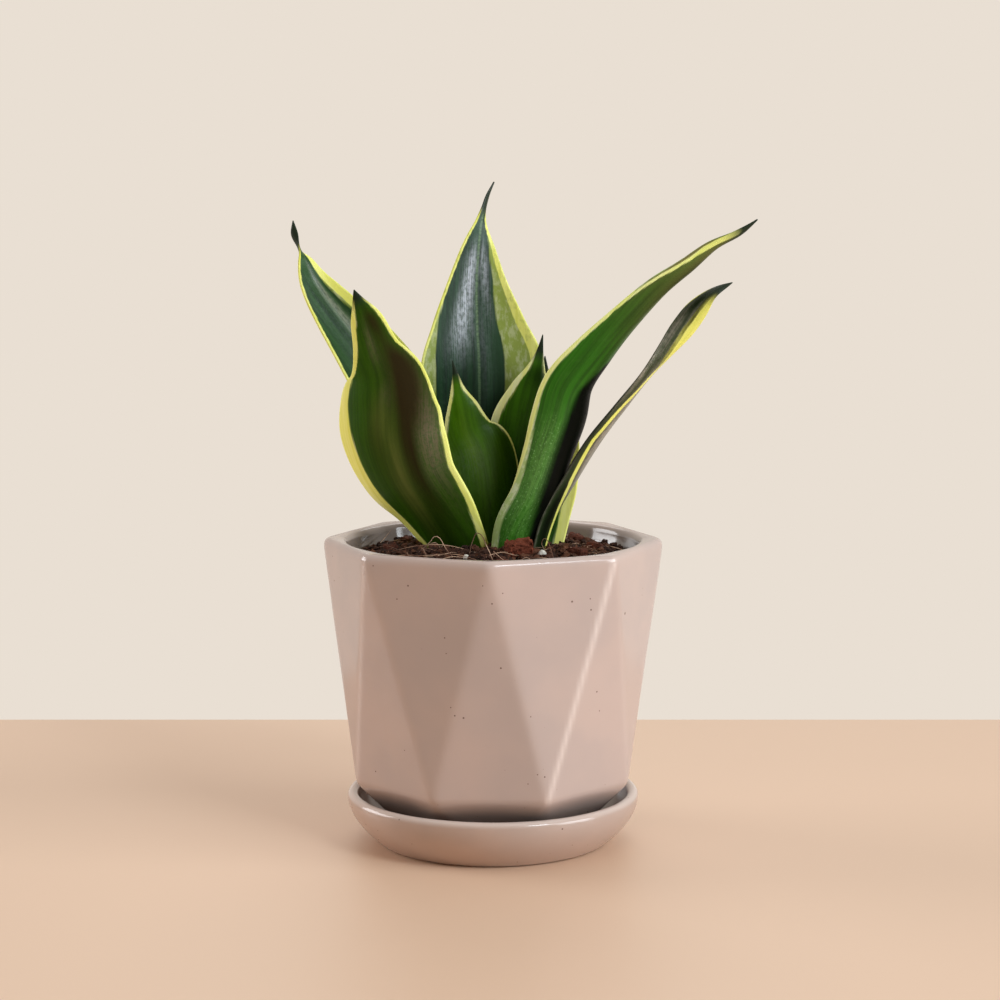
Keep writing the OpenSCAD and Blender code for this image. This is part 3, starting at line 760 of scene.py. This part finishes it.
def makeLeaf(node, leaf, look):
    rows = [np.array(r, float) for r in leaf["stations"]]
    last = len(rows) - 1
    across, along = look["acrossSteps"], look["alongSteps"]
    first, *others = node.split("_")
    obj = start(first + "".join(w.capitalize() for w in others), bpy.ops.mesh.primitive_grid_add,
                x_subdivisions=across, y_subdivisions=along, size=2)
    columns = np.linspace(-1, 1, across + 1)
    columns = np.sin(columns * math.pi / 2) * 0.35 + columns * 0.65     # denser at the margins
    lengths = np.linspace(0, last, along + 1)
    grid, widths = zip(*[leafRow(rows, t, columns, look["stand"]) for t in lengths])
    grid, widths = np.array(grid), np.array(widths)
    spine = np.linalg.norm(np.diff(grid[:, across // 2], axis=0), axis=1)
    run = np.concatenate([[0], np.cumsum(spine)])
    flat = places(obj) * mm
    i = np.rint((flat[:, 1] + 1) / 2 * along).astype(int)
    j = np.rint((flat[:, 0] + 1) / 2 * across).astype(int)
    movePlaces(obj, grid[i, j])
    s, w, t = columns[j], widths[i], lengths[i]

    def followed(key):
        # each column of a table, read along the leaf
        return [np.interp(t, range(last + 1), column) for column in zip(*leaf[key])]

    left, right = (1 + s) * w, (1 - s) * w
    yellowLeft, yellowRight, paleLeft, paleRight = followed("bands")
    yellow = np.minimum(left - yellowLeft, right - yellowRight)
    if "line" in leaf:
        middle, reach = followed("line")
        yellow = np.minimum(yellow, np.abs(s - middle) * w - reach)
    # painted shade: soft spots, and past a fold the underside is painted nearly black
    shade = spots(leaf.get("shade", []), t, s)
    if "fold" in leaf:
        edge, soft = followed("fold")
        shade = np.maximum(shade, np.clip((s - edge) / soft, 0, 1))
    setFloat(obj, "yellow", yellow)
    setFloat(obj, "pale", np.minimum(left - paleLeft, right - paleRight))
    # spots of painted reflection and of painted light
    setFloat(obj, "sheen", spots(leaf.get("sheen", []), t, s))
    setFloat(obj, "glow", spots(leaf.get("glow", []), t, s))
    setFloat(obj, "shade", shade)
    setFloat(obj, "tip", np.clip((t - leaf.get("tipFrom", last - 1.6)) / 0.8, 0, 1))
    uv = obj.data.uv_layers[0]
    uv.name = "leafUv"
    for loop in obj.data.loops:
        v = loop.vertex_index
        uv.data[loop.index].uv = (0.5 + s[v] * w[v] / look["tile"], run[i[v]] / look["tile"])
    thickness = look["thin"] + (look["thick"] - look["thin"]) * (1 - s * s)
    thickness = thickness * np.minimum(1, 0.25 + w / 8) / look["thick"]
    group = obj.vertex_groups.new(name="thickness")
    for v, amount in enumerate(thickness):
        group.add([v], float(amount), "REPLACE")
    applyModifier(obj, "SOLIDIFY", thickness=look["thick"] * mm, offset=0,
                  vertex_group="thickness", use_even_offset=False, material_offset=1)
    applyModifier(obj, "SUBSURF", levels=1, render_levels=1)
    obj.vertex_groups.clear()
    smooth(obj)
    front = {**look, **leaf["look"]}
    finishPiece(obj, "root_ball", "leaf", node, leafMaterial(obj.name + "Front", front),
                leafMaterial(obj.name + "Back", {**front, "midrib": 0}))


def leafMaterial(name, look):
    material, tree, shader = newMaterial(name)
    uv = addNode(tree, "UVMap", {}, uv_map="leafUv")
    skin = stretched(tree, uv, [look["tile"]] * 3)         # now in millimetres

    def patterned(across, along, detail, rough=0.7):
        return noiseOn(tree, stretched(tree, skin, (across, along, 1)), 1, detail, rough)

    streaks = patterned(0.42, 0.018, 4, 0.6)
    fineStreaks = patterned(2.2, 0.05, 3, 0.6)
    bars = patterned(0.34, 0.20, 5, 0.65)
    grain = patterned(0.9, 0.5, 5)
    blotches = patterned(0.35, 0.16, 5)
    sheen = attribute(tree, "sheen")
    mottled = plus(tree, times(tree, grain, 0.5), times(tree, fineStreaks, 0.5))
    paintedSheen = times(tree, sheen, ramp(tree, mottled, 0.40, 0.58, 0.2, 1.0))
    # the sheen spots lay a painted grey reflection over the skin, and the next spots a painted
    # light
    colour = coated(
        tree, look["deep"], (ramp(tree, streaks, 0.38, 0.62), look["middle"]),
        (times(tree, ramp(tree, bars, 0.50, 0.72), look["bars"]), look["light"]),
        (times(tree, ramp(tree, fineStreaks, 0.5, 0.75), 0.10), look["light"]),
        (times(tree, attribute(tree, "glow"), ramp(tree, streaks, 0.3, 0.6, 0.6, 1.0)),
         look["paintedLightColour"]),
        (times(tree, paintedSheen, 0.8), look["grey"]))
    if look["midrib"]:
        across = addNode(tree, "SeparateXYZ", {0: skin})
        offMiddle = maths(tree, "ABSOLUTE", maths(tree, "SUBTRACT", across, look["tile"] / 2))
        line = ramp(tree, offMiddle, 0.1, 0.8, 1.0, 0.0)
        dots = ramp(tree, patterned(0.5, 1.1, 2, 0.55), 0.35, 0.65, 0.4, 1)
        rib = times(tree, times(tree, line, dots), look["midrib"])
        colour = blend(tree, rib, colour, look["rib"])
    if look["speckles"]:
        fine = ramp(tree, patterned(1.6, 1.2, 3), 0.58, 0.68)
        speckle = times(tree, fine, ramp(tree, sheen, 0.05, 0.5))
        speckle = times(tree, speckle, 0.6 * look["speckles"])
        colour = blend(tree, speckle, colour, look.get("speckle", look["light"]))

    # the pale and yellow bands, with uneven edges
    wobble = times(tree, maths(tree, "SUBTRACT", streaks, 0.5), 3.0)
    pale = ramp(tree, plus(tree, attribute(tree, "pale"), wobble), -0.5, 0.35, 1.0, 0.0)
    paleColour = blend(tree, ramp(tree, blotches, 0.45, 0.62), look["pale"], look["paleGrey"])
    wobble = times(tree, maths(tree, "SUBTRACT", fineStreaks, 0.5), 0.9)
    yellow = ramp(tree, plus(tree, attribute(tree, "yellow"), wobble), -0.25, 0.2, 1.0, 0.0)
    blotched = times(tree, ramp(tree, blotches, 0.5, 0.62), look["blotchy"])
    yellowColour = coated(tree, look["yellow"],
                          (ramp(tree, streaks, 0.35, 0.7), look["yellowDeep"]),
                          (blotched, look["pale"]))
    # painted shade, weaker on the yellow margins; reflections are turned down in it too
    shade = times(tree, attribute(tree, "shade"),
                  maths(tree, "SUBTRACT", 1.0, times(tree, yellow, 0.8)))
    shine = plus(tree, times(tree, sheen, 0.5), look["gloss"])
    height = plus(tree, grain, times(tree, bars, 1.5))
    plug(tree, shader, {
        "Base Color": coated(tree, colour, (times(tree, pale, 0.92), paleColour),
                             (yellow, yellowColour), (attribute(tree, "tip"), look["tip"]),
                             (shade, look["dusk"])),
        "Roughness": ramp(tree, grain, 0.3, 0.7, look["roughness"] - 0.06,
                          look["roughness"] + 0.08),
        "Specular IOR Level": times(tree, shine, ramp(tree, shade, 0.0, 1.0, 1.0, 0.15)),
        "Normal": bump(tree, height, 0.12, 0.5)})
    return material


# potting mix, husk chips and perlite

soil = dict(
    fall=4.8, reach=55.4, gap=0.7, bottomGap=1.4, around=240, cuts=70, soften=12,
    lumps=2.2, sunk=0.9, clear=50.2, seed=11,
    crumbs=3600, spread=53, crumbSmall=0.35, crumbLarge=2.3, smallUnder=1.2, kinds=8,
    dark=(34, 21, 16), middle=(66, 40, 30), light=(134, 86, 62))


def onSoil(x, y, lift=0):
    # the mix lies level at the plant and lower at the wall
    down = min(1, math.hypot(x, y) / soil["reach"]) ** 3
    return x, y, soilZ - soil["fall"] * down + lift


def insideWall(x, y, margin):
    return math.hypot(x, y) < soil["clear"] - margin


def soilMaterial(name, look, fine):
    material, tree, shader = newMaterial(name)
    coords = objectCoords(tree)
    coarse = noiseOn(tree, coords, 260, 4, 0.65)
    speckled = noiseOn(tree, coords, fine, 3, 0.7)
    plug(tree, shader, {
        "Base Color": coated(
            tree, look["dark"], (ramp(tree, coarse, 0.35, 0.68), look["middle"]),
            (times(tree, ramp(tree, speckled, 0.55, 0.75), 0.7), look["light"]),
            (attribute(tree, "tone"), look["light"])),
        "Roughness": 0.92, "Specular IOR Level": 0.2,
        "Normal": bump(tree, plus(tree, coarse, speckled), 0.5, 0.8)})
    return material


def makePottingMix(s, p, material):
    low, top = p["floorZ"] + s["bottomGap"], onSoil(54, 0)[2]
    mix = pressedShell("pottingMix", hollowRings(p, s["gap"]), low, top, s["around"],
                       s["cuts"], s["soften"])
    flareTop(mix, p)
    levelEnds(mix, low, top)
    editOn(mix)
    ringAt(mix, top)
    scales = [1, 0.985, 0.97, 0.95, 0.92, 0.88, 0.82, 0.76, 0.70, 0.63, 0.56, 0.48, 0.40,
              0.32, 0.24, 0.16, 0.08]
    extrudeRings([(b / a, 0) for a, b in zip(scales, scales[1:])], close=True)
    ringAt(mix, low)
    extrudeRings([(0.96, -0.3), (0.8, 0), (0.7, 0), (0.5, 0), (0.4, 0)], close=True)
    editOff()
    points = places(mix)
    for point in points:
        if abs(point[2] - top) < 0.02:
            point[:] = onSoil(*point[:2], -s["sunk"])
    movePlaces(mix, points)
    outward(mix)
    roughen(mix, "soilLumps", 6, s["lumps"], 0.85, 4)
    setFloat(mix, "tone", np.zeros(len(mix.data.vertices)))
    smooth(mix)
    finishPiece(mix, "root_ball", "potting_mix", "potting_mix", material)


def crumbKinds(count, draw):
    # a few rough lumps, each pinched and roughened from a small icosphere
    kinds = []
    for k in range(count):
        lump = start("crumbKind", bpy.ops.mesh.primitive_ico_sphere_add,
                     subdivisions=1 if k % 2 else 2, radius=1)
        points = places(lump) * mm
        scale = [draw.uniform(0.7, 1.3), draw.uniform(0.5, 1.0), draw.uniform(0.4, 0.8)]
        rough = [[1 + draw.uniform(-0.32, 0.28)] for _ in points]
        kinds.append((points * rough * scale, [list(f.vertices) for f in lump.data.polygons]))
        bpy.data.objects.remove(lump, do_unlink=True)
    return kinds


def randomTurn(draw):
    turn = Matrix.Identity(3)
    for axis in "ZXZ":
        turn = turn @ Matrix.Rotation(draw.uniform(0, 2 * math.pi), 3, axis)
    return np.array(turn)


def makeCrumbs(s, material):
    draw = random.Random(s["seed"])
    kinds = crumbKinds(s["kinds"], draw)
    points, faces, tones = [], [], []
    placed = 0
    while placed < s["crumbs"]:
        radius = s["spread"] * math.sqrt(draw.random())
        x, y, _ = onCircle(radius, draw.uniform(0, 2 * math.pi))
        size = s["crumbSmall"] + (s["crumbLarge"] - s["crumbSmall"]) * draw.random() ** 2.6
        if not insideWall(x, y, size + 0.8):
            continue
        # lumps of many faces for the large crumbs, and of few for the small ones
        small = size < s["smallUnder"]
        shape, polys = kinds[2 * draw.randrange(len(kinds) // 2) + small]
        moved = shape @ randomTurn(draw).T * size * [1, 1, 0.8]
        place = onSoil(x, y, draw.uniform(-0.5, 0.55) * size - 0.4)
        faces.extend([len(points) + i for i in face] for face in polys)
        points.extend((moved + place) * mm)
        tones.extend([draw.random() ** 3 * 0.5] * len(moved))
        placed += 1
    mesh = bpy.data.meshes.new("soilCrumbs")
    mesh.from_pydata(points, [], faces)
    obj = added("soilCrumbs", mesh)
    setFloat(obj, "tone", tones)
    finishPiece(obj, "root_ball", "potting_mix", "potting_mix", material)


chips = dict(
    places=[                           # x, y, size, turn
        (9, -19, (10, 7, 6), 15), (-31, 18, (6, 4, 3), 70), (29, -16, (7, 5, 4), 140),
        (-30, -28, (6, 5, 3), 35), (30, 22, (8, 5, 4), 100), (-36, 0, (5, 4, 3), 10),
        (3, -37, (5, 4, 3), 60), (36, 3, (6, 4, 3), 155)],
    dark=(42, 24, 18), middle=(82, 45, 33), light=(168, 84, 56), seed=12, grown=1.02,
    plain=dict(raised=0.2, rough=0.12),
    crumbly=dict(raised=0.36, rough=0.3, tone=0.28))


def makeChips(c, material):
    draw = random.Random(c["seed"])
    made = []
    for x, y, size, turn in c["places"]:
        kind = c["plain"] if made else c["crumbly"]        # the first one falls apart
        place = onSoil(x, y, size[2] * kind["raised"])
        chip = start("chip", bpy.ops.mesh.primitive_cube_add, size=1,
                     location=[v * mm for v in place],
                     scale=[v * c["grown"] * mm for v in size],
                     rotation=[math.radians(a) for a in (8, -6, turn)])
        settle(chip)
        applyModifier(chip, "BEVEL", width=min(size) * 0.3 * mm, segments=2)
        applyModifier(chip, "SUBSURF", levels=3, render_levels=3, subdivision_type="SIMPLE")
        roughen(chip, "chipLumps", draw.uniform(2.6, 3.4), size[2] * 0.45, 0.62, 4)
        roughen(chip, "chipLumps", 1.1, size[2] * kind["rough"], 0.62, 4)
        draw.random()                  # keeps the draws below in their order
        tone = kind["tone"] if "tone" in kind else draw.uniform(0, 0.12)
        setFloat(chip, "tone", np.full(len(chip.data.vertices), tone))
        made.append(chip)
    obj = joinAll(made, "huskChips")
    smooth(obj, 40)
    finishPiece(obj, "root_ball", "husk", "husk_chips", material)


grains = dict(
    places=[(17, -20, 1.6), (-9, -27, 1.2), (-27, 26, 1.4)],       # x, y, size
    radius=0.9, raised=0.3, rough=0.5)                             # as shares of the size


def makeGrains(g, material):
    made = []
    for x, y, size in g["places"]:
        grain = start("grain", bpy.ops.mesh.primitive_ico_sphere_add, subdivisions=3,
                      radius=size * g["radius"] * mm,
                      location=[v * mm for v in onSoil(x, y, size * g["raised"])])
        settle(grain)
        roughen(grain, "grainLumps", 1.2, size * g["rough"])
        made.append(grain)
    obj = joinAll(made, "perliteGrains")
    smooth(obj)
    finishPiece(obj, "root_ball", "perlite", "perlite_grains", material)


# fibres on the mix

fibres = dict(
    real=[                             # x, y and height above the mix
        [[-44, -17, 0.3], [-34, -20, 1.2], [-22, -24, 0.8], [-12, -30, 2], [-3, -33, 0.2]],
        [[-26, -16, 0.2], [-22, -19, 4], [-19, -21, 7], [-16, -24, 3], [-13, -28, 0.3]],
        [[-8, -20, 0.3], [-7, -22, 5], [-5, -24, 8], [-2, -26, 4], [0, -30, 0.4]],
        [[-36, -10, 0.3], [-27, -13, 2.2], [-16, -15, 2.6], [-6, -17, 0.5]],
        [[-5, -34, 0.3], [-13, -31, 1.5], [-19, -33, 0.9], [-27, -36, 0.3]],
        [[18, -13, 0.3], [17, -17, 4], [18, -21, 6], [20, -25, 2.5], [21, -29, 0.3]],
        [[10, -27, 0.3], [17, -31, 1.4], [25, -33, 1.2], [31, -29, 0.3]],
        [[30, -10, 0.3], [35, -16, 1.3], [40, -20, 0.9], [42, -26, 0.2]],
        [[-41, 20, 0.3], [-40, 26, 1.6], [-37, 34, 4.8]],
        [[-34, 24, 0.3], [-29, 30, 1.5], [-22, 34, 1.0], [-15, 36, 0.3]],
        [[12, 33, 0.3], [21, 34, 1.4], [30, 29, 1.1], [38, 20, 0.3]]],
    thick=0.14, extra=60, spread=46, seed=23, pale=(216, 176, 146), brown=(104, 62, 42))


def fibrePaths(f, draw):
    # the placed fibres and then finer loose ones, each with its size
    paths = [([onSoil(*place) for place in path], 1.0) for path in f["real"]]
    while len(paths) < len(f["real"]) + f["extra"]:
        a = draw.uniform(0, 2 * math.pi)
        x, y, _ = onCircle(f["spread"] * math.sqrt(draw.random()), a)
        heading, reach = draw.uniform(0, 2 * math.pi), draw.uniform(5, 15)
        lift = draw.uniform(0.3, 1.8) if draw.random() < 0.85 else draw.uniform(2, 5)
        path = []
        for u in (0, 0.25, 0.5, 0.75, 1):
            px, py, _ = onCircle(reach * u, heading) + [x, y, 0]
            heading += draw.uniform(-0.6, 0.6)
            if not insideWall(px, py, 1.2):
                break
            rise = 0.1 + lift * math.sin(math.pi * min(1, u * 1.05)) + draw.uniform(-0.2, 0.3)
            path.append(onSoil(px, py, rise))
        if len(path) == 5:
            paths.append((path, draw.uniform(0.35, 0.8)))
    return paths


def makeFibres(f, material):
    draw = random.Random(f["seed"])
    curve = bpy.data.curves.new("surfaceFibres", "CURVE")
    curve.dimensions = "3D"
    curve.bevel_depth = f["thick"] * mm
    curve.bevel_resolution = 1
    curve.resolution_u = 4
    curve.use_fill_caps = True
    for path, size in fibrePaths(f, draw):
        spline = curve.splines.new("BEZIER")
        spline.bezier_points.add(len(path) - 1)
        for point, place in zip(spline.bezier_points, path):
            point.co = [(c + draw.uniform(-0.25, 0.25)) * mm for c in place]
            point.handle_left_type = point.handle_right_type = "AUTO"
            point.radius = size
        for end in (0, -1):
            spline.bezier_points[end].radius = size * 0.5
    work(added("surfaceFibres", curve))
    bpy.ops.object.convert(target="MESH")
    obj = newest("surfaceFibres")
    smooth(obj)
    finishPiece(obj, "root_ball", "root_fibre", "surface_fibres", material)


def fibreMaterial(name, pale, brown):
    material, tree, shader = newMaterial(name)
    coords = objectCoords(tree)
    tone = ramp(tree, noiseOn(tree, coords, 90, 2), 0.4, 0.6)
    plug(tree, shader, {
        "Base Color": blend(tree, tone, brown, pale), "Roughness": 0.6,
        "Normal": bump(tree, noiseOn(tree, coords, 1400, 2), 0.08, 0.6)})
    return material


def plainGrained(name, first, second, scale, roughness):
    material, tree, shader = newMaterial(name)
    tone = noiseOn(tree, objectCoords(tree), scale, 4, 0.6)
    plug(tree, shader, {
        "Base Color": blend(tree, ramp(tree, tone, 0.35, 0.65), first, second),
        "Roughness": roughness, "Normal": bump(tree, tone, 0.3, 0.5)})
    return material


# making

makeSaucer(saucer, glazeMaterial("saucerGlaze", saucerShadedLook))
print("saucer made")
makePot(pot, glazeMaterial("potGlaze", glazeLook))
print("pot made")
for node, leaf in leaves.items():
    makeLeaf(node, leaf, leafLook)
print("leaves made")
mixMaterial = soilMaterial("pottingMixCoir", soil, 900)
makePottingMix(soil, pot, mixMaterial)
makeCrumbs(soil, mixMaterial)
makeChips(chips, soilMaterial("huskChipCoir", chips, 700))
makeGrains(grains, plainGrained("perliteWhite", (236, 232, 222), (205, 198, 186), 900, 0.85))
makeFibres(fibres, fibreMaterial("fibrePale", fibres["pale"], fibres["brown"]))
print("soil made")

# the pieces that show their own mesh
keptFinishes = {
    "rhizome": plainGrained("rhizomeSkin", (206, 160, 98), (170, 120, 70), 180, 0.6),
    "roots": plainGrained("rootSkin", (222, 192, 146), (190, 150, 104), 400, 0.65),
    "drain_screen": plainGrained("screenPlastic", (38, 38, 40), (52, 52, 54), 700, 0.5)}
for name, material in keptFinishes.items():
    frame["nodes"][name].data.materials.clear()
    frame["nodes"][name].data.materials.append(material)
print("kept pieces finished")


# room, lamps and camera, in metres

room = dict(wall=(233, 223, 211), floor=(228, 194, 166), sky=(233, 218, 200),
            skyStrength=0.245, back=0.194, front=-0.70, side=0.90, floorRough=0.42)
lamps = [
    # name, azimuth, elevation, distance, width, height, watts, colour
    ("windowRight", -22, 15, 2.2, 1.2, 1.2, 34.0, (0.88, 0.95, 1.0)),
    ("windowFront", -50, 34, 2.2, 0.6, 0.6, 17.0, (0.80, 0.92, 1.0)),
    ("windowLeft", 165, 14, 1.7, 1.0, 0.8, 15.5, (0.97, 0.98, 1.0)),
    ("windowBehind", 90, 45, 2.2, 1.4, 1.4, 8.0, (1.0, 1.0, 1.0)),
    ("ceiling", -60, 84, 2.0, 2.0, 2.0, 9.0, (1.0, 1.0, 1.0))]
aim = 0.08                             # height that the lamps point at
view = dict(lens=85, sensor=36, place=(0.0025, -0.820, 0.221), tilt=83.02)


def makeRoom(r):
    floor = start("floor", bpy.ops.mesh.primitive_plane_add, size=1,
                  location=(0, (r["back"] + r["front"]) / 2, 0))
    floor.scale = (2 * r["side"], r["back"] - r["front"], 1)
    settle(floor)
    material, tree, shader = newMaterial("floorPlain")
    plug(tree, shader, {"Base Color": r["floor"], "Roughness": r["floorRough"]})
    floor.data.materials.append(material)
    world = bpy.data.worlds.new("room")
    bpy.context.scene.world = world
    world.use_nodes = True
    tree = world.node_tree
    seen = addNode(tree, "Background", {"Color": r["wall"], "Strength": 1.0})
    lit = addNode(tree, "Background", {"Color": r["sky"], "Strength": r["skyStrength"]})
    ray = tree.nodes.new("ShaderNodeLightPath").outputs
    shown = maths(tree, "MAXIMUM", ray["Is Camera Ray"], maths(
        tree, "MAXIMUM", ray["Is Glossy Ray"], ray["Is Transmission Ray"]))
    mixed = addNode(tree, "MixShader", {0: shown, 1: lit, 2: seen})
    plug(tree, tree.nodes["World Output"], {"Surface": mixed})


def makeLamp(name, azimuth, elevation, distance, width, height, watts, colour):
    data = bpy.data.lights.new(name, "AREA")
    data.shape = "RECTANGLE"
    data.size, data.size_y = width, height
    data.energy = watts
    data.color = colour
    lamp = added(name, data)
    a, e = math.radians(azimuth), math.radians(elevation)
    lamp.location = onCircle(distance * math.cos(e), a, aim + distance * math.sin(e))
    lamp.rotation_euler = (math.pi / 2 - e, 0, a + math.pi / 2)


def makeCamera(v):
    data = bpy.data.cameras.new("camera")
    data.lens, data.sensor_width = v["lens"], v["sensor"]
    camera = added("camera", data)
    camera.location = v["place"]
    camera.rotation_euler = (math.radians(v["tilt"]), 0, 0)
    bpy.context.scene.camera = camera


makeRoom(room)
for lamp in lamps:
    makeLamp(*lamp)
makeCamera(view)
bpy.context.scene.view_settings.view_transform = "Standard"
print("room, lamps and camera made")
